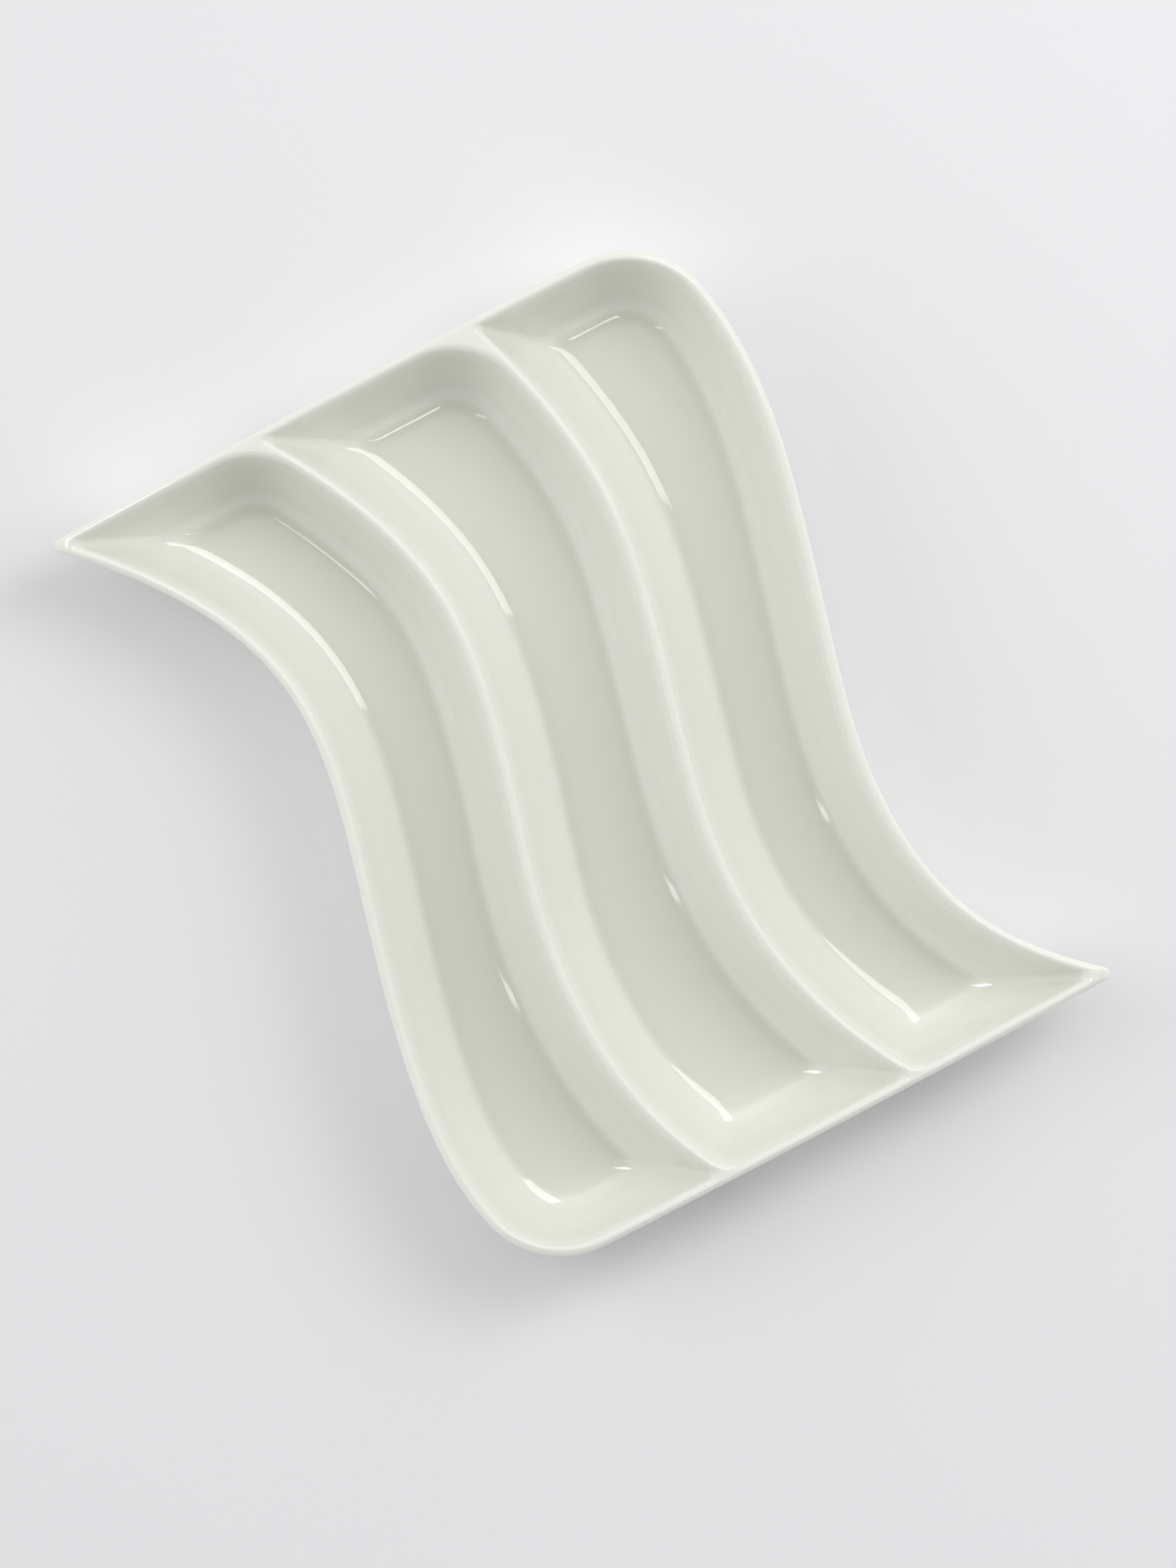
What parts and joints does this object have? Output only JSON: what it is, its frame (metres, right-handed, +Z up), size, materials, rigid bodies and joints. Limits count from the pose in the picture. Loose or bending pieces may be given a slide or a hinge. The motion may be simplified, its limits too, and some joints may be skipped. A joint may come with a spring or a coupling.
{
  "type": "relish tray",
  "caption": "Glazed porcelain relish tray with parallel S-curved wells, curved dividers level with the rim, straight short ends, pointed opposite corners and low foot rings.",
  "frame": {"origin": "on the table, under the middle of the tray's bounding box", "axes": "+Z is up out of the wells; +Y runs along the wells from one straight short end to the other; +X points to the long side whose pointed corner is at the -Y end"},
  "size_m": [0.2086, 0.25, 0.034],
  "materials": {
    "glaze": "gloss",
    "foot_clay": "bare fired clay"
  },
  "bodies": {
    "root": {"rim": "glaze", "left_divider": "glaze", "right_divider": "glaze", "left_well": "glaze", "middle_well": "glaze", "right_well": "glaze", "left_foot": "foot_clay", "middle_foot": "foot_clay", "right_foot": "foot_clay"}
  },
  "joints": []
}
